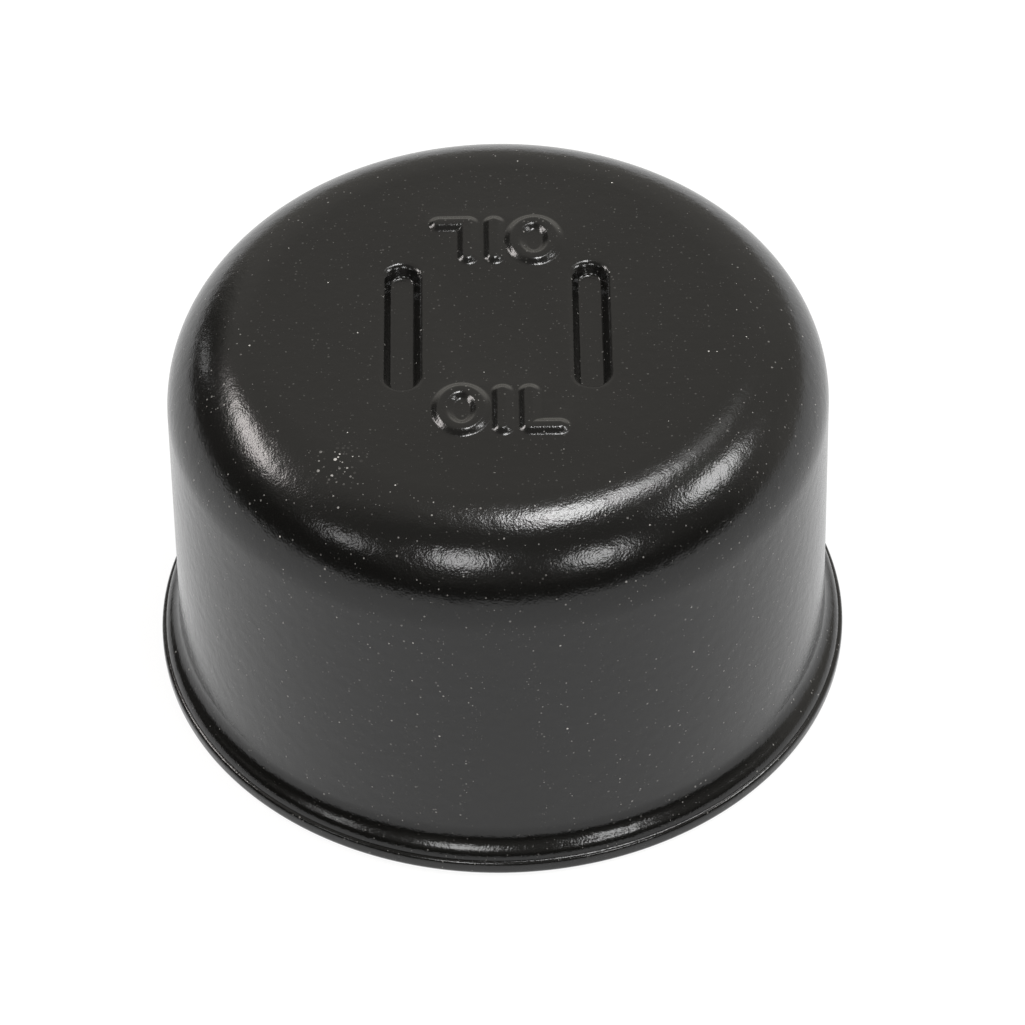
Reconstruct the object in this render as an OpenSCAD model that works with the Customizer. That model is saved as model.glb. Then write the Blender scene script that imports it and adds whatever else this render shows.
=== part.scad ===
// Push-on breathing oil filler cap. It stands on its rim: Z is up, and the origin is the centre of the
// rim's underside. The filler neck enters from below. All sizes are in millimetres.

/* [Cover] */
// Diameter over the rim
rim_d = 76.2; // [72:0.1:82]
// Height of the flat top above the rim
cap_h = 45.65; // [43:0.05:54]
// Thickness of the cover's sheet
cover_t = 0.8; // [0.7:0.05:0.95]
// Outer radius between the flat top and the wall
shoulder_r = 10.6; // [8:0.1:11.5]
// Lean of the wall, in degrees
wall_draft = 0.43; // [0.2:0.01:0.8]

/* [Rim] */
// How far the rim stands out past the foot of the wall
rim_overhang = 2.15; // [2:0.05:2.5]
// Radius of the hollow between the wall and the rim's bead
flare_r = 2.1; // [1.8:0.05:2.5]
// Outer radius of the bead
bead_r = 1.15; // [1.05:0.05:1.4]
// Height of the bead's centre above the crease
bead_rise = 0.35; // [0.3:0.05:0.6]
// How far the crimped edge stands out past the bead
crimp_step = 0.1; // [0.05:0.01:0.2]
// Depth of the crease between the bead and the crimped edge
crease_depth = 0.25; // [0.15:0.05:0.35]
// Radius of the crimped edge above
lip_r = 0.5; // [0.4:0.05:0.7]
// Radius of the crimped edge below
hem_r = 0.8; // [0.5:0.05:0.85]
// Width of the hem that is folded in under the base pan
hem_w = 2.6; // [2.3:0.1:2.9]

/* [Top slots] */
// Distance between the centre lines of the two slots
slot_spacing = 20.2; // [19:0.1:21.5]
// Length of a slot over its round ends
slot_len = 19.7; // [17:0.1:21]
// Width of a slot at the top face
slot_w = 4.4; // [4.2:0.1:5]
// Depth of a slot
slot_depth = 1.35; // [1:0.05:1.6]
// Steepness of a slot's side, in degrees
slot_wall_deg = 58; // [50:1:70]
// Radius along a slot's upper edge
slot_edge_r = 0.35; // [0.2:0.05:0.6]
// Radius along a slot's floor
slot_floor_r = 0.3; // [0.2:0.05:0.5]

/* [Base pan] */
// Thickness of the pan's sheet
pan_t = 0.8; // [0.7:0.05:0.9]
// Height of the floor's underside above the rim
pan_recess = 4; // [3.8:0.1:4.6]
// Radius of the pan's bends on the middle of the sheet
pan_bend_r = 1.2; // [1:0.05:1.4]
// Height of the collar round the neck sleeve, above the floor
collar_h = 3.2; // [2.4:0.1:4.5]
// Depth of the stiffening bead in the floor
floor_bead_depth = 0.8; // [0.5:0.05:1.1]
// Width of the stiffening bead
floor_bead_w = 2.4; // [2.2:0.1:2.8]
// Width of each of the bead's sloping sides
floor_bead_run = 0.7; // [0.5:0.05:0.9]
// Gap between the bead and the flange of the neck sleeve
floor_bead_gap = 0.5; // [0.3:0.05:0.8]
// Radius of the bend at the pan's edge, on the middle of the sheet
pan_edge_bend_r = 0.6; // [0.5:0.05:0.8]
// Number of air holes
air_holes = 16; // [12:1:18]
// Diameter of an air hole
air_hole_d = 3.6; // [2.8:0.1:3.8]

/* [Neck sleeve] */
// Outside diameter of the filler neck
neck_d = 38.1; // [36.5:0.1:39]
// Clearance on the radius between the neck and the sleeve
guide_gap = 0.25; // [0.2:0.01:0.3]
// Thickness of the sleeve's sheet
sleeve_t = 0.8; // [0.7:0.05:0.9]
// Height of the neck's stop above the rim
stop_z = 30; // [28:0.5:32]
// Length of the close bore below the stop
guide_len = 11; // [9:0.5:12.5]
// How much wider the sleeve is round the clip, on the radius
clip_room = 1.5; // [1.4:0.05:1.7]
// Radius of the bends between the clip's seat and the close bore, on the middle of the sheet
joggle_r = 1; // [0.8:0.05:1.2]
// Lean of the sheet between those bends, in degrees
joggle_deg = 42; // [36:1:48]
// Width of the flange round the sleeve's mouth
mouth_flange_w = 3.6; // [3.3:0.1:3.9]
// Radius of the mouth's bend on the middle of the sheet
mouth_bend_r = 1.9; // [1.8:0.05:2]
// Inside radius of the step over the neck's end
step_r = 2.2; // [1.8:0.05:2.4]
// Outside diameter of the boss that carries the cover
boss_d = 31; // [30.5:0.1:32]
// Outer radius of the boss's top edge
boss_edge_r = 2; // [1.6:0.1:2.2]
// Radius of the bend at the boss's foot, on the middle of the sheet
boss_foot_r = 0.8; // [0.6:0.05:1]

/* [Breather] */
// Number of windows in the boss
windows = 6; // [4:1:7]
// Width of a window
window_w = 8; // [6:0.1:8.5]
// Height of a window
window_h = 5; // [3.5:0.1:5.4]
// How far the windows' middle is above the middle of the boss's straight side
window_rise = 0.6; // [0:0.1:0.8]
// Diameter of the splash baffle
baffle_d = 23; // [21:0.1:24]
// Thickness of the baffle's sheet
baffle_t = 0.7; // [0.5:0.05:0.8]
// Rise of the baffle's dish
baffle_rise = 1.5; // [1:0.1:2]
// Number of the baffle's legs
baffle_legs = 3; // [3:1:4]
// Length of a leg, from the boss's roof down to the baffle's edge
leg_len = 9.3; // [7:0.1:11]
// Width of a leg
leg_w = 4; // [3:0.1:5]
// Length of a leg's foot
foot_len = 3.4; // [2.5:0.1:4]

/* [Gasket] */
// Width of the gasket's face
gasket_w = 3; // [2.6:0.1:3.2]

/* [Clip] */
// Thickness of the spring strip
clip_t = 0.5; // [0.4:0.05:0.55]
// Number of fingers
fingers = 8; // [6:2:10]
// Width of the opening between two fingers
finger_gap = 6.4; // [5:0.1:7.5]
// Height of the band below the fingers
low_band_h = 1.6; // [1.2:0.1:2]
// Height of the band above the fingers, where the rivets are
high_band_h = 4.2; // [3.8:0.1:4.6]
// Height of a finger's flat pad
pad_h = 1.2; // [0.8:0.1:1.6]
// Gap between the pads and the neck, on the radius
pad_gap = 0.05; // [0.04:0.01:0.08]
// Width of the split in the band
split_w = 2.4; // [1.5:0.1:4]
// Number of rivets
rivets = 4; // [2:2:4]
// Diameter of a rivet's shank
rivet_d = 2.4; // [2:0.1:2.6]
// Diameter of a rivet's heads
rivet_head_d = 3.4; // [3:0.1:3.6]
// Height of a rivet's heads
rivet_head_h = 0.6; // [0.4:0.05:0.7]

/* [Filter] */
// Thickness of the two screens
screen_t = 0.6; // [0.5:0.05:0.8]
// Height of the upper screen's collar and edge
screen_edge_h = 1.8; // [1.2:0.1:2.4]
// Diameter of the upper screen's holes
upper_hole_d = 2.6; // [2:0.1:3]
// Number of holes in the upper screen's inner row
upper_holes = 30; // [24:1:34]
// Diameter of the lower screen's holes
lower_hole_d = 1.8; // [1.4:0.1:2]
// Number of holes in the lower screen's inner row
lower_holes = 40; // [30:1:48]
// Width of one turn of the knitted gauze
turn_w = 1.65; // [1.4:0.05:2]
// Depth of the grooves between the turns
turn_groove = 0.5; // [0.3:0.05:0.8]

/* [Hidden] */
$fn = 96;
// Steps in a small bend, in the shoulder, and how far a cutter runs past what it cuts
bend_steps = 5;
shoulder_steps = 16;
past = 1;
// Clearances: sheets that lie side by side, the pan and the wall, the clip and its rivets' shanks, a
// rivet's head, the filter and what it lies between, and what goes in loose
fit_gap = 0.1;
pan_gap = 0.15;
clip_gap = 0.05;
head_gap = 0.01;
filter_gap = 0.2;
loose_gap = 0.3;
// Rows of holes in a screen, how many more holes each next row has, and its turn in degrees
screen_rows = 3;
row_more = 6;
row_turn = 4;

// Rim and wall of the cover
rim_r = rim_d / 2;
wall_r = rim_r - rim_overhang;
bead_out_r = rim_r - crimp_step;
crease_z = cover_t + pan_t;
crest_deg = asin(1 - (bead_out_r - wall_r) / (flare_r + bead_r));
bead_c = [bead_out_r - bead_r, crease_z + bead_rise];
flare_c = bead_c + (flare_r + bead_r) * [sin(crest_deg), cos(crest_deg)];
wall_tilt = 90 - wall_draft;
foot = flare_c - flare_r * [sin(wall_tilt), cos(wall_tilt)];
shoulder_z = cap_h - shoulder_r;
wall_len = (shoulder_z + shoulder_r * cos(wall_tilt) - foot[1]) / cos(wall_draft);
shoulder_c = [foot[0] - wall_len * sin(wall_draft) - shoulder_r * sin(wall_tilt), shoulder_z];
hem_in_r = rim_r - hem_w;
function wall_in_r(z) = foot[0] - (z - foot[1]) * tan(wall_draft) - cover_t / cos(wall_draft);
function shoulder_in_r(z) = shoulder_c[0] + sqrt(pow(shoulder_r - cover_t, 2) - pow(z - shoulder_z, 2));
function cover_in_r(z) = z > shoulder_z ? shoulder_in_r(z) : wall_in_r(z);

// Slots in the top: the side runs from a rounded edge down a steep face to a rounded floor
slot_x = slot_spacing / 2;
slot_bends = (slot_edge_r + slot_floor_r) * (1 - cos(slot_wall_deg));
slot_face = (slot_depth - slot_bends) / sin(slot_wall_deg);
slot_side = (slot_edge_r + slot_floor_r) * sin(slot_wall_deg) + slot_face * cos(slot_wall_deg);
slot_floor_w = slot_w / 2 - slot_side;
slot_floor_z = cap_h - slot_depth;
slot_end_y = slot_len / 2 - slot_w / 2;

// Neck sleeve
guide_r = neck_d / 2 + guide_gap;
clip_seat_r = guide_r + clip_room;
mouth_z = pan_recess - sleeve_t;
guide_mid_r = guide_r + sleeve_t / 2;
seat_mid_r = clip_seat_r + sleeve_t / 2;
step_mid_z = stop_z + step_r + sleeve_t / 2;
joggle_h = clip_room / tan(joggle_deg);
joggle_run = joggle_r * tan(joggle_deg / 2);
guide_z = stop_z - guide_len;
joggle_top = guide_z - joggle_run;
joggle_foot = joggle_top - joggle_h;
seat_top = joggle_foot - joggle_run;
seat_foot = pan_recess - sleeve_t / 2 + mouth_bend_r;
sleeve_top = slot_floor_z - cover_t;
boss_mid_r = boss_d / 2 - sleeve_t / 2;
boss_in_r = boss_mid_r - sleeve_t / 2;
boss_roof = sleeve_top - sleeve_t;
chamber_foot = step_mid_z + boss_foot_r;
window_z = (chamber_foot + sleeve_top - boss_edge_r) / 2 + window_rise;

// Base pan
pan_mid_z = pan_recess + pan_t / 2;
pan_top = pan_recess + pan_t;
collar_mid_r = clip_seat_r + sleeve_t + fit_gap + pan_t / 2;
pan_edge_r = bead_out_r - cover_t - fit_gap;
pan_wall_mid_r = wall_in_r(foot[1]) - pan_gap - pan_t / 2;
pan_flange_mid_z = cover_t + pan_t / 2;
pan_lip_mid_r = pan_edge_r - pan_t / 2;
pan_lip_top = bead_c[1] + fit_gap;
floor_out_r = pan_wall_mid_r - pan_bend_r;
mouth_flange_r = clip_seat_r + sleeve_t + mouth_flange_w;
floor_bead_in = mouth_flange_r + floor_bead_gap;
floor_bead_out = floor_bead_in + floor_bead_w;
air_circle_r = (floor_bead_out + floor_out_r) / 2;

// Retaining clip and its rivets
clip_out_r = clip_seat_r - clip_gap;
clip_mid_r = clip_out_r - clip_t / 2;
clip_in_r = clip_out_r - clip_t;
clip_z = seat_foot + loose_gap;
clip_top = seat_top - fit_gap;
pad_mid_r = neck_d / 2 + pad_gap + clip_t / 2;
finger_foot = clip_z + low_band_h;
finger_top = clip_top - high_band_h;
pad_z = (finger_foot + finger_top) / 2;
rivet_z = clip_top - high_band_h / 2;
rivet_in_x = sqrt(pow(clip_in_r, 2) - pow(rivet_head_d / 2, 2)) - head_gap;

// Filter ring and its screens
screen_top = stop_z;
upper_in_r = guide_r + sleeve_t + fit_gap;
upper_out_r = cover_in_r(screen_top + screen_edge_h) - loose_gap;
lower_in_r = collar_mid_r + pan_bend_r + filter_gap;
lower_out_r = floor_out_r - fit_gap;
gauze_z = pan_top + screen_t;
gauze_top = screen_top - screen_t;
gauze_in_r = max(clip_seat_r + sleeve_t + rivet_head_h, collar_mid_r + pan_t / 2) + filter_gap;
gauze_turns = floor((lower_out_r - gauze_in_r) / turn_w);
gauze_pitch = (lower_out_r - gauze_in_r) / gauze_turns;

// Points round a centre, from one tilt off the vertical to another
function roll(c, r, from, to, steps) =
    [for (i = [0 : steps]) let (a = from + (to - from) * i / steps) c + r * [sin(a), cos(a)]];

function unit(v) = v / norm(v);
function flat(q) = [q[0], q[1]];

// The round corner of radius r at point b of a path from a to c
function bend(a, b, c, r) =
    let (
        u = unit(a - b),
        w = unit(c - b),
        half = acos(u * w) / 2,
        m = b + unit(u + w) * r / sin(half),
        s = b + u * r / tan(half) - m,
        e = b + w * r / tan(half) - m,
        from = atan2(s[1], s[0]),
        turn = (atan2(e[1], e[0]) - from + 540) % 360 - 180
    )
    [for (i = [0 : bend_steps]) let (a = from + turn * i / bend_steps) m + r * [cos(a), sin(a)]];

// A path through corners given as [radius from the axis, height, bend radius]
function path(q) =
    [for (i = [0 : len(q) - 1])
        each (q[i][2] > 0 ? bend(flat(q[i - 1]), flat(q[i]), flat(q[i + 1]), q[i][2]) : [flat(q[i])])];

// The path moved sideways by d
function normal(a, b) = let (u = unit(b - a)) [-u[1], u[0]];
function beside(p, d) =
    let (last = len(p) - 1)
    [for (i = [0 : last])
        let (n = normal(p[max(i - 1, 0)], p[max(i, 1)]), m = normal(p[min(i, last - 1)], p[min(i + 1, last)]))
        p[i] + d * (n + m) / (1 + n * m)];
function reversed(p) = [for (i = [len(p) - 1 : -1 : 0]) p[i]];

// A round pressing of sheet t thick, whose middle follows the path
module pressing(corners, t) {
    mid = path(corners);
    rotate_extrude() polygon(concat(beside(mid, t / 2), reversed(beside(mid, -t / 2))));
}

module round_array(count, start = 0) {
    for (i = [0 : count - 1]) rotate([0, 0, start + i * 360 / count]) children();
}

// Drilled holes on a circle
module hole_circle(count, r, d, low, high) {
    round_array(count) translate([r, 0, low - past]) cylinder(d = d, h = high - low + 2 * past);
}

// Cover: flat top, shoulder, wall, flare, bead, crimped edge and hem, as one sheet
function cover_outside() = concat(
    [[0, cap_h]],
    roll(shoulder_c, shoulder_r, 0, wall_tilt, shoulder_steps),
    roll(flare_c, -flare_r, wall_tilt, crest_deg, bend_steps),
    roll(bead_c, bead_r, crest_deg, 90, bend_steps),
    [[bead_out_r - crease_depth, crease_z]],
    roll([rim_r - lip_r, crease_z - lip_r], lip_r, 30, 90, bend_steps),
    roll([rim_r - hem_r, hem_r], hem_r, 90, 180, bend_steps),
    [[hem_in_r, 0]]
);
function cover_inside() = concat(
    [[hem_in_r, cover_t], [bead_out_r - cover_t, cover_t]],
    roll(bead_c, bead_r - cover_t, 90, crest_deg, bend_steps),
    roll(flare_c, -flare_r - cover_t, crest_deg, wall_tilt, bend_steps),
    roll(shoulder_c, shoulder_r - cover_t, wall_tilt, 0, shoulder_steps),
    [[0, cap_h - cover_t]]
);

// A shape that is a slot: half_section is swept along the slot's length and round both its ends
module along_slot(half_section) {
    mirrored = [for (p = reversed(half_section)) [-p[0], p[1]]];
    for (side = [-1, 1]) translate([0, side * slot_end_y, 0]) rotate_extrude() polygon(half_section);
    translate([0, slot_end_y, 0]) rotate([90, 0, 0]) linear_extrude(2 * slot_end_y)
        polygon(concat(half_section, mirrored));
}
function slot_hollow() = concat(
    [[0, slot_floor_z]],
    roll([slot_floor_w, slot_floor_z + slot_floor_r], slot_floor_r, 180, 180 - slot_wall_deg, bend_steps),
    roll([slot_w / 2, cap_h - slot_edge_r], -slot_edge_r, 180 - slot_wall_deg, 180, bend_steps),
    [[slot_w / 2, cap_h + past], [0, cap_h + past]]
);
function slot_bulge() =
    let (
        r = slot_floor_r + cover_t,
        c = [slot_floor_w, slot_floor_z + slot_floor_r],
        rise = cap_h - cover_t - c[1] - r * cos(180 - slot_wall_deg)
    )
    concat(
        [[0, sleeve_top]],
        roll(c, r, 180, 180 - slot_wall_deg, bend_steps),
        [[c[0] + r * sin(slot_wall_deg) + rise / tan(slot_wall_deg), cap_h - cover_t],
            [slot_w / 2 + cover_t, cap_h - cover_t / 2], [0, cap_h - cover_t / 2]]
    );

module cover_shell() {
    color("#1b1b1a") difference() {
        union() {
            rotate_extrude() polygon(concat(cover_outside(), cover_inside()));
            for (side = [-1, 1]) translate([side * slot_x, 0, 0]) along_slot(slot_bulge());
        }
        for (side = [-1, 1]) translate([side * slot_x, 0, 0]) along_slot(slot_hollow());
    }
}

// Base pan: collar, floor with a stiffening bead, dish wall, flange and the lip inside the crimp
module base_pan() {
    bead_z = pan_mid_z - floor_bead_depth;
    color("#242423") difference() {
        pressing([
            [collar_mid_r, pan_top + collar_h, 0],
            [collar_mid_r, pan_mid_z, pan_bend_r],
            [floor_bead_in, pan_mid_z, pan_t / 2],
            [floor_bead_in + floor_bead_run, bead_z, pan_t / 2],
            [floor_bead_out - floor_bead_run, bead_z, pan_t / 2],
            [floor_bead_out, pan_mid_z, pan_t / 2],
            [pan_wall_mid_r, pan_mid_z, pan_bend_r],
            [pan_wall_mid_r, pan_flange_mid_z, pan_bend_r],
            [pan_lip_mid_r, pan_flange_mid_z, pan_edge_bend_r],
            [pan_lip_mid_r, pan_lip_top, 0]
        ], pan_t);
        hole_circle(air_holes, air_circle_r, air_hole_d, pan_recess, pan_top);
    }
}

// A window with round ends, cut outwards along X
module window_cut(w, h, reach) {
    for (side = [-1, 1]) translate([0, side * (w - h) / 2, 0]) rotate([0, 90, 0]) cylinder(d = h, h = reach);
    translate([0, -(w - h) / 2, -h / 2]) cube([reach, w - h, h]);
}

// Neck sleeve: flanged mouth, seat for the clip, close bore, step over the neck's end, and the boss
module neck_sleeve() {
    color("#b9b6ae") difference() {
        pressing([
            [mouth_flange_r, mouth_z + sleeve_t / 2, 0],
            [seat_mid_r, mouth_z + sleeve_t / 2, mouth_bend_r],
            [seat_mid_r, joggle_foot, joggle_r],
            [guide_mid_r, joggle_top, joggle_r],
            [guide_mid_r, step_mid_z, step_r + sleeve_t / 2],
            [boss_mid_r, step_mid_z, boss_foot_r],
            [boss_mid_r, sleeve_top - sleeve_t / 2, boss_edge_r - sleeve_t / 2],
            [0, sleeve_top - sleeve_t / 2, 0]
        ], sleeve_t);
        round_array(windows) translate([boss_in_r - past, 0, window_z])
            window_cut(window_w, window_h, sleeve_t + 2 * past);
        rivet_places() translate([clip_seat_r - past, 0, 0]) rotate([0, 90, 0])
            cylinder(d = rivet_d + 2 * clip_gap, h = sleeve_t + 2 * past);
    }
}

// Splash baffle: a dished disc that hangs on legs from the boss's roof, at the windows' foot
module splash_baffle() {
    disc_z = boss_roof - leg_len;
    leg_r = baffle_d / 2;
    color("#a9a69e") {
        pressing([
            [0, disc_z + baffle_rise, 0],
            [baffle_d / 3, disc_z + baffle_rise, baffle_d / 6],
            [leg_r, disc_z, 0]
        ], baffle_t);
        round_array(baffle_legs, 30) {
            translate([leg_r - baffle_t, -leg_w / 2, disc_z - baffle_t / 2])
                cube([baffle_t, leg_w, leg_len + baffle_t / 2]);
            translate([leg_r - foot_len, -leg_w / 2, boss_roof - baffle_t]) cube([foot_len, leg_w, baffle_t]);
        }
    }
}

// Gasket: fills the corner under the sleeve's step
module neck_gasket() {
    corner = [guide_r - step_r - fit_gap, stop_z + fit_gap];
    corner_r = step_r - fit_gap;
    color("#20201f") rotate_extrude() polygon(concat(
        [[corner[0] + corner_r - gasket_w, corner[1] + corner_r]],
        roll(corner, corner_r, 0, 90, bend_steps),
        [[corner[0] + corner_r - gasket_w, corner[1]]]
    ));
}

module rivet_places() {
    round_array(rivets, 180 / fingers) translate([0, 0, rivet_z]) children();
}

// Retaining clip: a split band whose fingers bow inwards to the neck
module retaining_clip() {
    reach = clip_room + clip_t + 2 * past;
    color("#6e6a62") difference() {
        pressing([
            [clip_mid_r, clip_z, 0],
            [clip_mid_r, finger_foot, 0],
            [pad_mid_r, pad_z - pad_h / 2, 0],
            [pad_mid_r, pad_z + pad_h / 2, 0],
            [clip_mid_r, finger_top, 0],
            [clip_mid_r, clip_top, 0]
        ], clip_t);
        round_array(fingers) translate([clip_seat_r - reach, -finger_gap / 2, finger_foot])
            cube([reach + past, finger_gap, finger_top - finger_foot]);
        translate([clip_seat_r - reach, -split_w / 2, clip_z - past])
            cube([reach + past, split_w, clip_top - clip_z + 2 * past]);
        rivet_places() translate([clip_in_r - past, 0, 0]) rotate([0, 90, 0])
            cylinder(d = rivet_d + 2 * clip_gap, h = clip_t + 2 * past);
    }
}

// Rivets: a low head inside the clip, a shank, and a set head outside the sleeve
module clip_rivets() {
    out_x = clip_seat_r + sleeve_t;
    head_edge = rivet_head_h / 3;
    head = rivet_head_h - head_edge;
    color("#8f8c84") rivet_places() rotate([0, 90, 0]) {
        translate([0, 0, rivet_in_x - rivet_head_h])
            cylinder(d1 = rivet_head_d - 2 * head_edge, d2 = rivet_head_d, h = head_edge);
        translate([0, 0, rivet_in_x - head]) cylinder(d = rivet_head_d, h = head);
        translate([0, 0, rivet_in_x - head]) cylinder(d = rivet_d, h = out_x + head - rivet_in_x + head);
        translate([0, 0, out_x]) cylinder(d = rivet_head_d, h = head);
        translate([0, 0, out_x + head])
            cylinder(d1 = rivet_head_d, d2 = rivet_head_d - 2 * head_edge, h = head_edge);
    }
}

// Gauze pack: turns of knitted wire round the sleeve, with a groove between each two
module gauze_pack() {
    function turns(z, groove) = [for (i = [0 : gauze_turns - 1])
        each [[gauze_in_r + i * gauze_pitch, z + (i > 0 ? groove : 0)],
            [gauze_in_r + (i + 0.25) * gauze_pitch, z], [gauze_in_r + (i + 0.75) * gauze_pitch, z]]];
    color("#8a857a") rotate_extrude() polygon(concat(
        turns(gauze_z, turn_groove),
        [[lower_out_r, gauze_z], [lower_out_r, gauze_top]],
        reversed(turns(gauze_top, -turn_groove))
    ));
}

// Upper screen: holds the gauze down, with a collar on the sleeve and a turned-up edge
module upper_screen() {
    mid_z = screen_top - screen_t / 2;
    in_r = upper_in_r + screen_t / 2;
    out_r = upper_out_r - screen_t / 2;
    row = (out_r - in_r) / (screen_rows + 1);
    color("#9c988f") difference() {
        pressing([
            [in_r, screen_top + screen_edge_h, 0],
            [in_r, mid_z, screen_t],
            [out_r, mid_z, screen_t],
            [out_r, screen_top + screen_edge_h, 0]
        ], screen_t);
        for (i = [0 : screen_rows - 1]) rotate([0, 0, i * row_turn])
            hole_circle(upper_holes + i * row_more, in_r + (i + 1) * row, upper_hole_d, gauze_top, screen_top);
    }
}

// Lower screen: lies on the pan's floor under the gauze
module lower_screen() {
    row = (lower_out_r - lower_in_r) / (screen_rows + 1);
    color("#9c988f") difference() {
        translate([0, 0, pan_top]) cylinder(r = lower_out_r, h = screen_t);
        translate([0, 0, pan_top - past]) cylinder(r = lower_in_r, h = screen_t + 2 * past);
        for (i = [0 : screen_rows - 1]) rotate([0, 0, i * row_turn])
            hole_circle(lower_holes + i * row_more, lower_in_r + (i + 1) * row, lower_hole_d, pan_top, gauze_z);
    }
}

cover_shell();
base_pan();
neck_sleeve();
splash_baffle();
neck_gasket();
retaining_clip();
clip_rivets();
gauze_pack();
upper_screen();
lower_screen();
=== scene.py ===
"""Push-on oil filler cap in black enamel: finish, raised lettering, studio and camera."""

import math

import bmesh
import bpy
from mathutils import Matrix, Vector
from mathutils.geometry import delaunay_2d_cdt


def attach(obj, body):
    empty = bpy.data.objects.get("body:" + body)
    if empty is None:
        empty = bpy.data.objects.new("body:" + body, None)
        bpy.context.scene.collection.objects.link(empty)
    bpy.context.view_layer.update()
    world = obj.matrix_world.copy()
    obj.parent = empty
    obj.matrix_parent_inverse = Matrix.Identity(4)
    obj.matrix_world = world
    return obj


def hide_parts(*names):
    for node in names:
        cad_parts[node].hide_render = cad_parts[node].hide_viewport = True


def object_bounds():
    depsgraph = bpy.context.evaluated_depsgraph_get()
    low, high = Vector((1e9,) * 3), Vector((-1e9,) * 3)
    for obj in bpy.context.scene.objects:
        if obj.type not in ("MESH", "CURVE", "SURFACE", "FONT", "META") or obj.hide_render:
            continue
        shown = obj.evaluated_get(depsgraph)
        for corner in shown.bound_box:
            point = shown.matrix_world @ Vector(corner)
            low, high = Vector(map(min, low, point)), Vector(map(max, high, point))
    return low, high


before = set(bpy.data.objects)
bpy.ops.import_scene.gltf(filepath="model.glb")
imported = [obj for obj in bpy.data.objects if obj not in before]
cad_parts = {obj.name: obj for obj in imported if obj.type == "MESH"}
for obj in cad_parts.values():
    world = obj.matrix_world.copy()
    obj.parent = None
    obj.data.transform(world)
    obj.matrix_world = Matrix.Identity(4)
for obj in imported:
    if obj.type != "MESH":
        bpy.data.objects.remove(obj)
cad_low, cad_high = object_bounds()

MM = 0.001

# Cover, in millimetres: the frame's cover with a gentler flare and bead, softer slots and raised words
RIM_R = cad_high.x / MM
TOP_Z = cad_high.z / MM
SHEET = 0.8
SHOULDER_R = 10.6
WALL_DRAFT = math.radians(0.43)
RIM_OVERHANG = 2.15
FLARE_R = 3.0
BEAD_R = 1.9
BEAD_Z = 1.65
CRIMP_STEP = 0.4
CREASE_DEPTH = 0.08
CREASE_Z = 1.9
LIP_R = 0.5
HEM_R = 0.8
HEM_W = 2.6
ROUND_STEPS = 256
# Points nearer to each other than this are one point
MERGE_ROOM = 0.002

# Slots in the top, and the slight turn of slots and words about the cap's axis
SLOT_X = 10.1
SLOT_LEN, SLOT_W = 20.5, 5.1
SLOT_DEPTH = 1.35
SLOT_EDGE_R = 0.9
SLOT_FLOOR_R = 0.5
SLOT_TILT = math.radians(59)
WORD_TURN = math.radians(-0.24)

# Words: the letters' outer limits, their height, and the round-ended stroke that draws them
WORD_RISE = 0.5
STROKE_FOOT = 1.4
STROKE_TOP = 0.25
WORD_NEAR, WORD_FAR = -17.2, -9.1
LETTER_O_X, LETTER_O_Y = -3.82, -13.05
LETTER_O_W, LETTER_O_H = 6.95, 8.5
LETTER_I_X = 0.51
LETTER_L_X, LETTER_L_END = 3.36, 7.85
FAR_WORD_SHIFT = (0.35, 0.2)
# Painted sheen: the letters' slopes that face +Y, inside this box round both words, are painted lighter,
# standing in for light from behind
SHEEN_BOX = (8.6, 18.6)

# Light that only matt surfaces get from the room, and how far the lamps are, in metres
ROOM_FILL = 0.4
LAMP_DISTANCE = 0.7

# Camera, from the outline of the cap in the photograph
VIEW_RISE = math.radians(44.82)
VIEW_ROLL = math.radians(-1.13)
VIEW_DISTANCE = 636.7
VIEW_TARGET = (0, 0, 20.05)
LENS = 203.5
SHIFT = (0.01232, -0.01763)


def roll(centre, r, start, end, steps):
    """Points on an arc, from one tilt off the vertical to another."""
    angles = [start + (end - start) * i / steps for i in range(steps + 1)]
    return [(centre[0] + r * math.sin(a), centre[1] + r * math.cos(a)) for a in angles]


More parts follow.
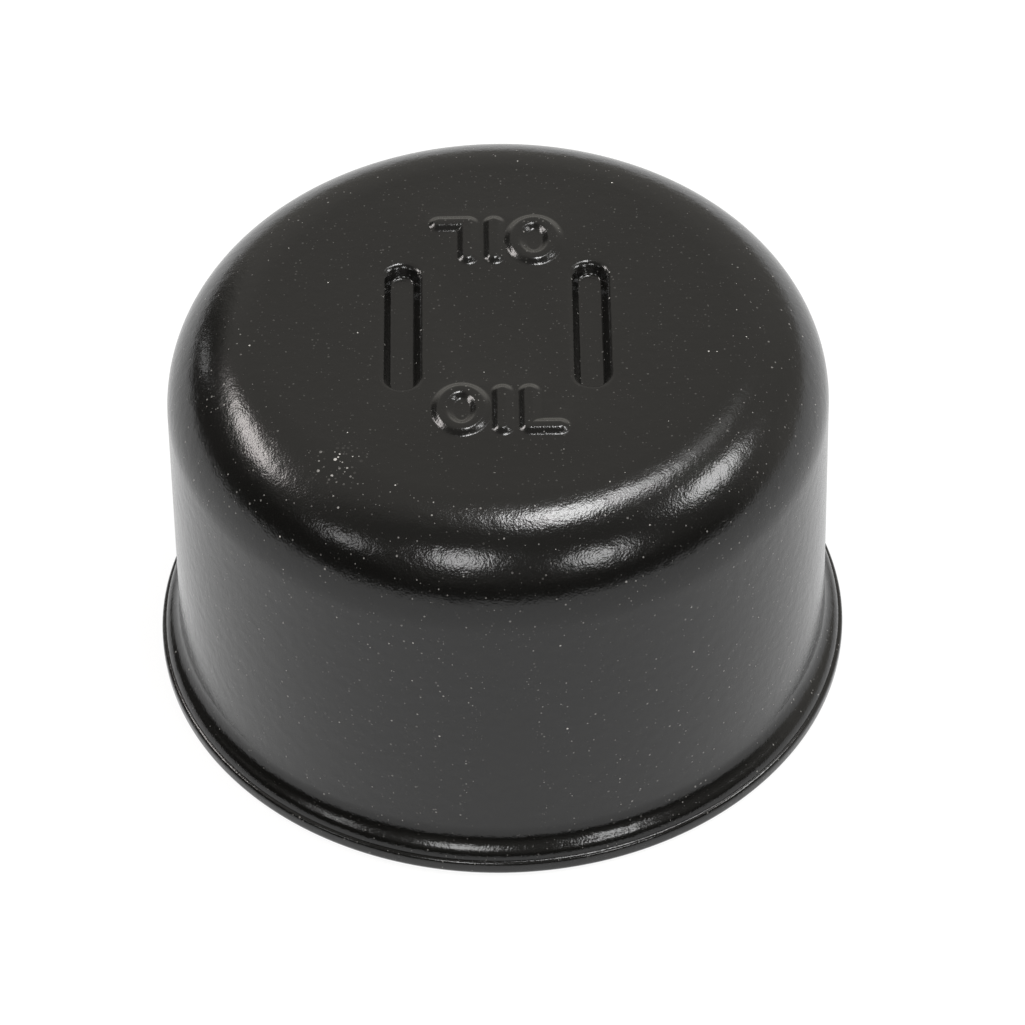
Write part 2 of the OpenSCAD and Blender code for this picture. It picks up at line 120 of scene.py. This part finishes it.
def cover_profiles():
    """The cover's outside from the edge of its flat top to the hem, and its inside back up."""
    wall_tilt = math.pi / 2 - WALL_DRAFT
    bead_out = RIM_R - CRIMP_STEP
    wall_r = RIM_R - RIM_OVERHANG
    crest = math.asin(1 - (bead_out - wall_r) / (FLARE_R + BEAD_R))
    bead = (bead_out - BEAD_R, BEAD_Z)
    reach = FLARE_R + BEAD_R
    flare = (bead[0] + reach * math.sin(crest), bead[1] + reach * math.cos(crest))
    foot = (flare[0] - FLARE_R * math.sin(wall_tilt), flare[1] - FLARE_R * math.cos(wall_tilt))
    shoulder_z = TOP_Z - SHOULDER_R
    rise = shoulder_z + SHOULDER_R * math.cos(wall_tilt) - foot[1]
    wall_top_r = foot[0] - rise * math.tan(WALL_DRAFT)
    shoulder = (wall_top_r - SHOULDER_R * math.sin(wall_tilt), shoulder_z)

    def wall(offset, steps=10):
        low = (foot[0] - offset, foot[1])
        high = (wall_top_r - offset, foot[1] + rise)
        shares = [i / steps for i in range(1, steps)]
        return [(high[0] + (low[0] - high[0]) * t, high[1] + (low[1] - high[1]) * t) for t in shares]

    half = math.pi / 2
    outside = roll(shoulder, SHOULDER_R, 0, wall_tilt, 28) + wall(0)
    outside += roll(flare, -FLARE_R, wall_tilt, crest, 12)
    outside += roll(bead, BEAD_R, crest, math.acos((CREASE_Z - BEAD_Z) / BEAD_R), 14)[1:]
    outside += [(bead_out - CREASE_DEPTH, CREASE_Z)]
    outside += roll((RIM_R - LIP_R, CREASE_Z - LIP_R), LIP_R, 0.2, half, 7)
    outside += roll((RIM_R - HEM_R, HEM_R), HEM_R, half, math.pi, 8)
    outside += [(RIM_R - HEM_W, 0)]
    inside = [(RIM_R - HEM_W, SHEET), (bead_out - SHEET, SHEET)]
    inside += roll(bead, BEAD_R - SHEET, half, crest, 5)
    inside += roll(flare, -FLARE_R - SHEET, crest, wall_tilt, 8)[1:]
    inside += reversed(wall(SHEET, 3))
    inside += roll(shoulder, SHOULDER_R - SHEET, wall_tilt, 0, 14)
    return outside, inside


def stroke_loop(points, r, steps=14):
    """The outline of a round-ended stroke of half-width r along points, anticlockwise."""
    ends = [Vector(p) for p in points]
    way = [(b - a).normalized() for a, b in zip(ends, ends[1:])]
    loop = []

    def arc(centre, start, turn):
        for i in range(steps + 1):
            a = start + turn * i / steps
            loop.append(centre + Vector((math.cos(a), math.sin(a))) * r)

    def side(order, ways):
        for p, before, after in zip(order, ways, ways[1:]):
            turn = before.cross(after)
            start = math.atan2(-before.x, before.y)
            if turn > 0:
                arc(p, start, math.asin(min(turn, 1)))
            else:
                inward = Vector((before.y, -before.x)) + Vector((after.y, -after.x))
                corner = p + inward * r / (1 + before.dot(after))
                loop.extend([corner - before * 0.2, corner, corner + after * 0.2])

    side(ends[1:-1], way)
    last = way[-1]
    arc(ends[-1], math.atan2(-last.x, last.y), math.pi)
    back = [-w for w in reversed(way)]
    side(ends[-2:0:-1], back)
    arc(ends[0], math.atan2(-back[-1].x, back[-1].y), math.pi)
    return loop


def ring_loop(centre, half_w, half_h, r, steps=72):
    """An upright oval loop, r larger all round than the given half-sizes."""
    turns = [2 * math.pi * i / steps for i in range(steps)]
    return [Vector(centre) + Vector(((half_w + r) * math.cos(a), (half_h + r) * math.sin(a))) for a in turns]


def soft_step(rise, foot, top, steps=10):
    """Half-width and height from a stroke's foot up to its flat, as a rounded slope."""
    out = []
    for i in range(steps + 1):
        t = i / steps
        out.append((foot + (top - foot) * t, rise * (1 - math.cos(math.pi * t)) / 2))
    return out


def slot_side(outer):
    """Half-width and depth from a slot's edge to its floor, on the sheet's outer or inner face."""
    bends = (SLOT_EDGE_R + SLOT_FLOOR_R) * (1 - math.cos(SLOT_TILT))
    run = (SLOT_DEPTH - bends) / math.tan(SLOT_TILT) + (SLOT_EDGE_R + SLOT_FLOOR_R) * math.sin(SLOT_TILT)
    floor_w = SLOT_W / 2 - run
    edge_r = SLOT_EDGE_R if outer else SLOT_EDGE_R / 2
    floor_r = SLOT_FLOOR_R if outer else SLOT_FLOOR_R + SHEET
    tilts = [SLOT_TILT * i / 8 for i in range(9)]
    floor = [(floor_w + floor_r * math.sin(a), floor_r * (1 - math.cos(a)) - SLOT_DEPTH) for a in tilts]
    foot_w, foot_z = floor[-1]
    face = (-edge_r * (1 - math.cos(SLOT_TILT)) - foot_z) / math.tan(SLOT_TILT)
    centre_w = foot_w + face + edge_r * math.sin(SLOT_TILT)
    edge = [(centre_w - edge_r * math.sin(a), -edge_r * (1 - math.cos(a))) for a in tilts]
    return edge + floor[::-1]


def turned(loop, turn):
    c, s = math.cos(turn), math.sin(turn)
    return [Vector((c * p.x - s * p.y, s * p.x + c * p.y)) for p in loop]


def word_strokes():
    """The strokes of one word, as functions that give a stroke's outline at any half-width."""
    low, high = WORD_NEAR + STROKE_FOOT, WORD_FAR - STROKE_FOOT
    o_centre = (LETTER_O_X, LETTER_O_Y)
    o_half = (LETTER_O_W / 2 - STROKE_FOOT, LETTER_O_H / 2 - STROKE_FOOT)
    letter_i = [(LETTER_I_X, low), (LETTER_I_X, high)]
    letter_l = [(LETTER_L_X, high), (LETTER_L_X, low), (LETTER_L_END - STROKE_FOOT, low)]
    return {
        "o_out": lambda r: ring_loop(o_centre, *o_half, r),
        "o_in": lambda r: ring_loop(o_centre, *o_half, -r),
        "i": lambda r: stroke_loop(letter_i, r),
        "l": lambda r: stroke_loop(letter_l, r),
    }


def lift(loop, z, shift=(0, 0)):
    return [Vector((p.x + shift[0], p.y + shift[1], z)) for p in loop]


def band(bm, rows):
    """Quads between rows of points, each row a loop."""
    made = [[bm.verts.new(p * MM) for p in row] for row in rows]
    count = len(made[0])
    for a, b in zip(made, made[1:]):
        for i in range(count):
            j = (i + 1) % count
            bm.faces.new((a[i], a[j], b[j], b[i]))
    return made


def flat_between(bm, rim, holes, z):
    """A flat face at height z inside the rim loop, with the loops of holes left open."""
    points, edges = [], []
    for loop in [rim, *holes]:
        first = len(points)
        points += [Vector((p.x, p.y)) for p in loop]
        edges += [(first + i, first + (i + 1) % len(loop)) for i in range(len(loop))]
    found, _, faces, *_ = delaunay_2d_cdt(points, edges, [], 0, 1e-7)
    verts = [bm.verts.new(Vector((p.x, p.y, z)) * MM) for p in found]
    for face in faces:
        middle = sum((found[i] for i in face), Vector((0, 0))) / len(face)
        if not any(inside(middle, hole) for hole in holes):
            bm.faces.new([verts[i] for i in face])


def inside(p, loop):
    """Whether point p lies in the loop."""
    hit = False
    for a, b in zip(loop, loop[1:] + loop[:1]):
        if (a.y > p.y) != (b.y > p.y) and p.x < a.x + (p.y - a.y) * (b.x - a.x) / (b.y - a.y):
            hit = not hit
    return hit


def pressed_face(bm, rim, z, sides, rise, foot, top):
    """A flat face of the sheet with its two slots and two words pressed into it."""
    holes = []
    end_y = (SLOT_LEN - SLOT_W) / 2
    for side in (-1, 1):
        line = [(side * SLOT_X, -end_y), (side * SLOT_X, end_y)]
        rows = [lift(turned(stroke_loop(line, w), WORD_TURN), z + h) for w, h in sides]
        made = band(bm, rows)
        bm.faces.new(made[-1])
        holes.append(rows[0])
    slope = soft_step(rise, foot, top)
    for turn, shift in ((WORD_TURN, (0, 0)), (WORD_TURN + math.pi, FAR_WORD_SHIFT)):
        stroke = {k: [lift(turned(f(w), turn), z + h, shift) for w, h in slope]
                  for k, f in word_strokes().items()}
        for name in ("i", "l"):
            made = band(bm, stroke[name])
            bm.faces.new(made[-1])
            holes.append(stroke[name][0])
        band(bm, stroke["o_out"] + stroke["o_in"][::-1])
        holes.append(stroke["o_out"][0])
        flat_between(bm, stroke["o_in"][0], [], z)
    flat_between(bm, rim, holes, z)


def lathe_rows(profile):
    turns = [2 * math.pi * i / ROUND_STEPS for i in range(ROUND_STEPS)]
    return [[Vector((r * math.cos(a), r * math.sin(a), z)) for a in turns] for r, z in profile]


def finish_mesh(bm, name, material, replaces=()):
    """The bmesh as a smooth piece that rides on the cap."""
    mesh = bpy.data.meshes.new(name)
    bm.to_mesh(mesh)
    bm.free()
    mesh.shade_smooth()
    mesh.materials.append(material)
    piece = bpy.data.objects.new(name, mesh)
    bpy.context.scene.collection.objects.link(piece)
    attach(piece, "root")
    if replaces:
        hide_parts(*replaces)
    return piece


def build_cover(material):
    """The drawn cover as one closed sheet, with its slots, words, flare, bead and crimped rim."""
    outside, inside_face = cover_profiles()
    bm = bmesh.new()
    band(bm, lathe_rows(outside + inside_face))
    rim = lathe_rows([outside[0]])[0]
    pressed_face(bm, rim, TOP_Z, slot_side(True), WORD_RISE, STROKE_FOOT, STROKE_TOP)
    inner_rim = lathe_rows([inside_face[-1]])[0]
    hollow_foot, hollow_top = STROKE_FOOT - 0.3, STROKE_TOP - 0.3
    pressed_face(bm, inner_rim, TOP_Z - SHEET, slot_side(False), WORD_RISE, hollow_foot, hollow_top)
    bmesh.ops.remove_doubles(bm, verts=bm.verts, dist=MERGE_ROOM * MM)
    bmesh.ops.dissolve_degenerate(bm, edges=bm.edges, dist=MERGE_ROOM * MM)
    bmesh.ops.recalc_face_normals(bm, faces=bm.faces)
    bmesh.ops.triangulate(bm, faces=[f for f in bm.faces if len(f.verts) > 4])
    return finish_mesh(bm, "cover_pressing", material, ["cover_shell"])


class Nodes:
    """Short calls for a node tree."""

    def __init__(self, tree):
        self.tree = tree

    def add(self, kind, inputs=None, **settings):
        node = self.tree.nodes.new(kind)
        for key, value in settings.items():
            setattr(node, key, value)
        for key, value in (inputs or {}).items():
            self.set(node.inputs[key], value)
        return node

    def set(self, socket, value):
        if isinstance(value, bpy.types.NodeSocket):
            self.tree.links.new(value, socket)
        else:
            socket.default_value = value

    def math(self, operation, a, b=0.0):
        node = self.add("ShaderNodeMath", operation=operation)
        self.set(node.inputs[0], a)
        self.set(node.inputs[1], b)
        return node.outputs[0]

    def remap(self, value, low, high, to_low=0.0, to_high=1.0):
        node = self.add("ShaderNodeMapRange", {"From Min": low, "From Max": high,
                                               "To Min": to_low, "To Max": to_high})
        node.interpolation_type = "SMOOTHSTEP"
        self.set(node.inputs["Value"], value)
        return node.outputs["Result"]

    def mix(self, factor, a, b):
        node = self.add("ShaderNodeMix", data_type="RGBA")
        self.set(node.inputs["Factor"], factor)
        self.set(node.inputs["A"], a)
        self.set(node.inputs["B"], b)
        return node.outputs["Result"]


def shader_group(name, inputs, outputs):
    """A node group with number inputs and named outputs, its Nodes helper, input and output nodes."""
    tree = bpy.data.node_groups.new(name, "ShaderNodeTree")
    for label, value in inputs.items():
        socket = tree.interface.new_socket(label, in_out="INPUT", socket_type="NodeSocketFloat")
        socket.default_value = value
    for label in outputs:
        tree.interface.new_socket(label, in_out="OUTPUT", socket_type="NodeSocketFloat")
    made = Nodes(tree)
    return made, made.add("NodeGroupInput").outputs, made.add("NodeGroupOutput").inputs


def orange_peel_group():
    """Height of sprayed enamel: a slow ripple and a fine sandy grain."""
    n, given, out = shader_group(
        "Orange peel", {"Ripple size": 1.3, "Grain size": 0.22, "Grain share": 0.55}, ["Height"])
    place = n.add("ShaderNodeTexCoord").outputs["Object"]
    heights = []
    for size in ("Ripple size", "Grain size"):
        scale = n.math("DIVIDE", 1 / MM, given[size])
        heights.append(n.add("ShaderNodeTexNoise", {
            "Vector": place, "Scale": scale, "Detail": 1.5, "Roughness": 0.5}).outputs["Fac"])
    grain = n.math("MULTIPLY", heights[1], given["Grain share"])
    n.set(out["Height"], n.math("ADD", heights[0], grain))
    return n.tree


def specks_group():
    """Mask of scattered dust specks: one in each chosen cell, each of its own size."""
    n, given, out = shader_group(
        "Dust specks", {"Cell size": 2.0, "Speck radius": 0.1, "Share": 0.5}, ["Mask"])
    place = n.add("ShaderNodeTexCoord").outputs["Object"]
    scale = n.math("DIVIDE", 1 / MM, given["Cell size"])
    cells = n.add("ShaderNodeTexVoronoi", {"Vector": place, "Scale": scale})
    pick = n.add("ShaderNodeSeparateColor", {"Color": cells.outputs["Color"]})
    radius = n.math("DIVIDE", given["Speck radius"], given["Cell size"])
    own = n.math("MULTIPLY", radius, n.math("ADD", n.math("POWER", pick.outputs["Green"], 3.0), 0.32))
    near = n.remap(n.math("DIVIDE", cells.outputs["Distance"], own), 1.0, 0.7)
    chosen = n.math("LESS_THAN", pick.outputs["Red"], given["Share"])
    faint = n.math("ADD", n.math("POWER", pick.outputs["Blue"], 3.0), 0.07)
    n.set(out["Mask"], n.math("MULTIPLY", n.math("MULTIPLY", near, chosen), faint))
    return n.tree


def mottle_group():
    """Cloudy variation of plated steel: large patches with a fine scatter in them."""
    n, given, out = shader_group(
        "Plating mottle", {"Patch size": 6.0, "Fine size": 0.5}, ["Patches", "Fine"])
    place = n.add("ShaderNodeTexCoord").outputs["Object"]
    for size, label, detail in (("Patch size", "Patches", 4.0), ("Fine size", "Fine", 2.0)):
        scale = n.math("DIVIDE", 1 / MM, given[size])
        noise = n.add("ShaderNodeTexNoise", {"Vector": place, "Scale": scale, "Detail": detail})
        n.set(out[label], n.remap(noise.outputs["Fac"], 0.3, 0.7))
    return n.tree


DUST = (0.4, 0.39, 0.375, 1)
# Colour of the painted sheen: the letters' slopes that face +Y are painted lighter, as if lit from behind
PAINTED_SHEEN_COLOUR = (0.049, 0.048, 0.045, 1)
ORANGE_PEEL = orange_peel_group()
SPECKS = specks_group()
MOTTLE = mottle_group()


def material(name):
    """A new material, its Nodes helper and its Principled BSDF."""
    made = bpy.data.materials.new(name)
    made.use_nodes = True
    n = Nodes(made.node_tree)
    return made, n, made.node_tree.nodes["Principled BSDF"]


def painted_sheen_mask(n):
    """Mask of the letters' slopes that face +Y, where a painted sheen stands in for light from behind."""
    spot = n.add("ShaderNodeTexCoord").outputs
    place = n.add("ShaderNodeSeparateXYZ", {"Vector": spot["Object"]}).outputs
    facing = n.add("ShaderNodeSeparateXYZ", {"Vector": spot["Normal"]}).outputs["Y"]
    mask = n.remap(facing, 0.02, 0.38)
    for axis, reach in zip("XY", SHEEN_BOX):
        away = n.math("ABSOLUTE", place[axis])
        mask = n.math("MULTIPLY", mask, n.math("LESS_THAN", away, reach * MM))
    return n.math("MULTIPLY", mask, n.math("GREATER_THAN", place["Z"], (TOP_Z - 0.02) * MM))


def enamel(name, colour, dust, scuff_place=None):
    """Semi-gloss black enamel with orange peel and dust; on the cover, also a painted sheen on the letters'
    slopes that face +Y, scuffs and fine dust.
    """
    made, n, skin = material(name)
    peel = n.add("ShaderNodeGroup", {"Ripple size": 1.3, "Grain size": 0.22, "Grain share": 0.55},
                 node_tree=ORANGE_PEEL)
    bump = n.add("ShaderNodeBump", {
        "Strength": 1.0, "Distance": 0.036 * MM, "Height": peel.outputs["Height"]})
    n.set(skin.inputs["Normal"], bump.outputs["Normal"])
    specks = n.add("ShaderNodeGroup", {"Cell size": 0.8, "Speck radius": 0.1, "Share": dust},
                   node_tree=SPECKS)
    mask = specks.outputs["Mask"]
    if scuff_place:
        place = n.add("ShaderNodeTexCoord").outputs["Object"]
        reach = n.add("ShaderNodeVectorMath", {0: place, 1: Vector(scuff_place) * MM}, operation="DISTANCE")
        near = n.remap(reach.outputs["Value"], 3.4 * MM, 1.0 * MM)
        fine = n.add("ShaderNodeGroup", {"Cell size": 0.4, "Speck radius": 0.18, "Share": 0.8},
                     node_tree=SPECKS)
        mask = n.math("MAXIMUM", mask, n.math("MULTIPLY", near, fine.outputs["Mask"]))
        powder = n.add("ShaderNodeGroup", {"Cell size": 0.45, "Speck radius": 0.11, "Share": 0.8},
                       node_tree=SPECKS)
        mask = n.math("MAXIMUM", mask, n.math("MULTIPLY", powder.outputs["Mask"], 0.42))
        # Painted sheen: the letters' slopes that face +Y are painted lighter, standing in for light from
        # behind
        colour = n.mix(painted_sheen_mask(n), colour, PAINTED_SHEEN_COLOUR)
    n.set(skin.inputs["Base Color"], n.mix(mask, colour, DUST))
    n.set(skin.inputs["Roughness"], n.math("ADD", 0.165, n.math("MULTIPLY", mask, 0.5)))
    return made


def plated_steel(name, colour, roughness, stain):
    """Zinc-plated or bare sheet steel, cloudy, with thin stains."""
    made, n, skin = material(name)
    cloud = n.add("ShaderNodeGroup", {"Patch size": 5.0, "Fine size": 0.35}, node_tree=MOTTLE)
    tone = n.mix(cloud.outputs["Patches"], colour, [c * stain for c in colour[:3]] + [1])
    n.set(skin.inputs["Base Color"], tone)
    n.set(skin.inputs["Roughness"],
          n.remap(cloud.outputs["Fine"], 0.0, 1.0, roughness - 0.06, roughness + 0.08))
    skin.inputs["Metallic"].default_value = 1.0
    bump = n.add("ShaderNodeBump", {"Strength": 0.3, "Distance": 0.01 * MM, "Height": cloud.outputs["Fine"]})
    n.set(skin.inputs["Normal"], bump.outputs["Normal"])
    return made


def rubber(name):
    """Matt black moulded rubber, slightly bloomed."""
    made, n, skin = material(name)
    cloud = n.add("ShaderNodeGroup", {"Patch size": 3.0, "Fine size": 0.3}, node_tree=MOTTLE)
    n.set(skin.inputs["Base Color"],
          n.mix(cloud.outputs["Patches"], (0.018, 0.018, 0.018, 1), (0.03, 0.03, 0.029, 1)))
    skin.inputs["Roughness"].default_value = 0.75
    bump = n.add("ShaderNodeBump", {"Strength": 0.4, "Distance": 0.02 * MM, "Height": cloud.outputs["Fine"]})
    n.set(skin.inputs["Normal"], bump.outputs["Normal"])
    return made


def dress_node(name, look):
    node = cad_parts[name]
    node.data.materials.clear()
    node.data.materials.append(look)


def direction(azimuth, elevation):
    """Unit vector from the cap: azimuth 0 is towards the camera and 90 towards +X, in degrees."""
    a, e = math.radians(azimuth), math.radians(elevation)
    return Vector((math.sin(a) * math.cos(e), -math.cos(a) * math.cos(e), math.sin(e)))


def lamp(name, azimuth, elevation, size, radiance, colour=(1, 1, 1)):
    """A round lamp that looks at the cap. Its size is (width, height) in metres."""
    data = bpy.data.lights.new(name, "AREA")
    data.shape = "ELLIPSE"
    data.size, data.size_y = size
    data.energy = radiance * size[0] * size[1] * math.pi * math.pi / 4
    data.color = colour
    holder = bpy.data.objects.new(name, data)
    away = direction(azimuth, elevation)
    holder.location = away * LAMP_DISTANCE + Vector(VIEW_TARGET) * MM
    turn = (-away).to_track_quat("-Z", "Y").to_matrix().to_4x4()
    holder.matrix_world = Matrix.Translation(holder.location) @ turn
    holder.visible_camera = False
    bpy.context.scene.collection.objects.link(holder)
    return holder


def build_world():
    """A dim room: white to the camera, an even wall behind the cap and a dark one in front of it."""
    world = bpy.data.worlds.new("Studio")
    world.use_nodes = True
    bpy.context.scene.world = world
    n = Nodes(world.node_tree)
    back = world.node_tree.nodes["Background"]
    way = n.add("ShaderNodeSeparateXYZ", {"Vector": n.add("ShaderNodeTexCoord").outputs["Generated"]})
    side, depth, height = way.outputs["X"], way.outputs["Y"], way.outputs["Z"]
    wall = n.remap(height, 0.1, 0.6, 0.45, 0.6)
    level = n.math("MULTIPLY", wall, n.remap(depth, -0.3, 0.3, 0.36, 1.0))
    glow = n.math("MULTIPLY", n.remap(side, 0.7, 0.98), n.remap(height, 0.45, 0.2))
    level = n.math("ADD", level, n.math("MULTIPLY", glow, 0.15))
    dark_front = n.math("MULTIPLY", n.remap(height, 0.45, 0.15), n.remap(depth, 0.1, -0.4))
    dark_left = n.math("MULTIPLY", n.remap(height, 0.6, 0.4), n.remap(side, -0.35, -0.6))
    dark = n.math("MAXIMUM", dark_front, dark_left)
    level = n.math("MULTIPLY", level, n.math("SUBTRACT", 1.0, n.math("MULTIPLY", dark, 0.8)))
    level = n.math("MAXIMUM", level, n.remap(height, -0.06, -0.3, 0.0, 0.8))
    rays = n.add("ShaderNodeLightPath").outputs
    level = n.math("ADD", level, n.math("MULTIPLY", rays["Is Diffuse Ray"], ROOM_FILL))
    n.set(back.inputs["Color"], n.mix(rays["Is Camera Ray"], (1, 0.966, 0.9, 1), (1, 1, 1, 1)))
    n.set(back.inputs["Strength"], n.math("MAXIMUM", level, rays["Is Camera Ray"]))
    return world


def white_sheet():
    """Paper that is white to the camera under a faint shadow, and plain white in the cap's gloss."""
    made = bpy.data.materials.new("White sheet")
    made.use_nodes = True
    n = Nodes(made.node_tree)
    made.node_tree.nodes.remove(made.node_tree.nodes["Principled BSDF"])
    rays = n.add("ShaderNodeLightPath").outputs

    def mixed(share, a, b):
        return n.add("ShaderNodeMixShader", {0: share, 1: a, 2: b}).outputs[0]

    paper = n.add("ShaderNodeBsdfDiffuse", {"Color": (0.85, 0.85, 0.85, 1)}).outputs[0]
    white = n.add("ShaderNodeEmission", {"Color": (1, 1, 1, 1), "Strength": 1.05}).outputs[0]
    gloss = n.add("ShaderNodeEmission", {"Color": (1, 1, 1, 1), "Strength": 1.0}).outputs[0]
    clear = n.add("ShaderNodeBsdfTransparent").outputs[0]
    lit = mixed(n.math("MULTIPLY", rays["Is Camera Ray"], 0.85), paper, white)
    lit = mixed(rays["Is Glossy Ray"], lit, gloss)
    lit = mixed(n.add("ShaderNodeNewGeometry").outputs["Backfacing"], lit, clear)
    n.set(made.node_tree.nodes["Material Output"].inputs["Surface"], lit)
    return made


def build_floor():
    """A white sheet under the cap, open where the cap covers it, so that a view from below shows the pan."""
    bm = bmesh.new()
    radii = [RIM_R - HEM_W / 2, 45, 60, 90, 150, 400, 1500]
    band(bm, lathe_rows([(r, 0) for r in radii]))
    mesh = bpy.data.meshes.new("floor")
    bm.to_mesh(mesh)
    bm.free()
    if mesh.polygons[0].normal.z < 0:
        mesh.flip_normals()
    mesh.materials.append(white_sheet())
    floor = bpy.data.objects.new("floor", mesh)
    bpy.context.scene.collection.objects.link(floor)
    return floor


def build_camera():
    data = bpy.data.cameras.new("camera")
    data.sensor_width = 36
    data.lens = LENS
    data.shift_x, data.shift_y = SHIFT
    data.clip_start, data.clip_end = 0.01, 10
    camera = bpy.data.objects.new("camera", data)
    away = direction(0, math.degrees(VIEW_RISE))
    place = (Vector(VIEW_TARGET) + away * VIEW_DISTANCE) * MM
    aim = Matrix.Rotation(math.pi / 2 - VIEW_RISE, 4, "X") @ Matrix.Rotation(VIEW_ROLL, 4, "Z")
    camera.matrix_world = Matrix.Translation(place) @ aim
    bpy.context.scene.collection.objects.link(camera)
    bpy.context.scene.camera = camera


def build_lamps():
    lamp("overhead", 103, 81.2, (0.2, 0.15), 20.5)
    lamp("overhead, far end", 120, 70, (0.13, 0.2), 10.5)
    lamp("overhead, last of it", 133, 56, (0.13, 0.16), 1.3)
    lamp("front right", 33.5, 35.5, (0.17, 0.15), 10.8)
    lamp("right", 89, 42.5, (0.25, 0.16), 13)
    lamp("front", -15, 44.5, (0.15, 0.21), 10.5)
    lamp("front left", -55, 35, (0.13, 0.11), 5.2)
    lamp("left", -113, 41, (0.34, 0.11), 13.5, (1.0, 0.95, 0.93))
    lamp("low left", -132, 14, (0.08, 0.08), 2.5)


build_cover(enamel("Black enamel", (0.0037, 0.0036, 0.0033, 1), 0.5, (-16.7, -20.7, 45.5)))
dress_node("base_pan", enamel("Black enamel, pan", (0.01, 0.01, 0.0095, 1), 0.3))
dress_node("neck_sleeve", plated_steel("Zinc-plated sleeve", (0.5, 0.49, 0.46, 1), 0.34, 0.8))
dress_node("splash_baffle", plated_steel("Zinc-plated baffle", (0.46, 0.45, 0.42, 1), 0.38, 0.75))
dress_node("neck_gasket", rubber("Gasket rubber"))
dress_node("retaining_clip", plated_steel("Blackened spring steel", (0.16, 0.15, 0.14, 1), 0.36, 0.7))
dress_node("clip_rivets", plated_steel("Rivet steel", (0.42, 0.41, 0.39, 1), 0.3, 0.85))
dress_node("gauze_pack", plated_steel("Oiled gauze", (0.22, 0.2, 0.17, 1), 0.5, 0.4))
for screen in ("upper_screen", "lower_screen"):
    dress_node(screen, plated_steel("Plated " + screen.replace("_", " "), (0.44, 0.43, 0.4, 1), 0.38, 0.7))

build_world()
build_floor()
build_lamps()
build_camera()
bpy.context.scene.view_settings.view_transform = "Standard"
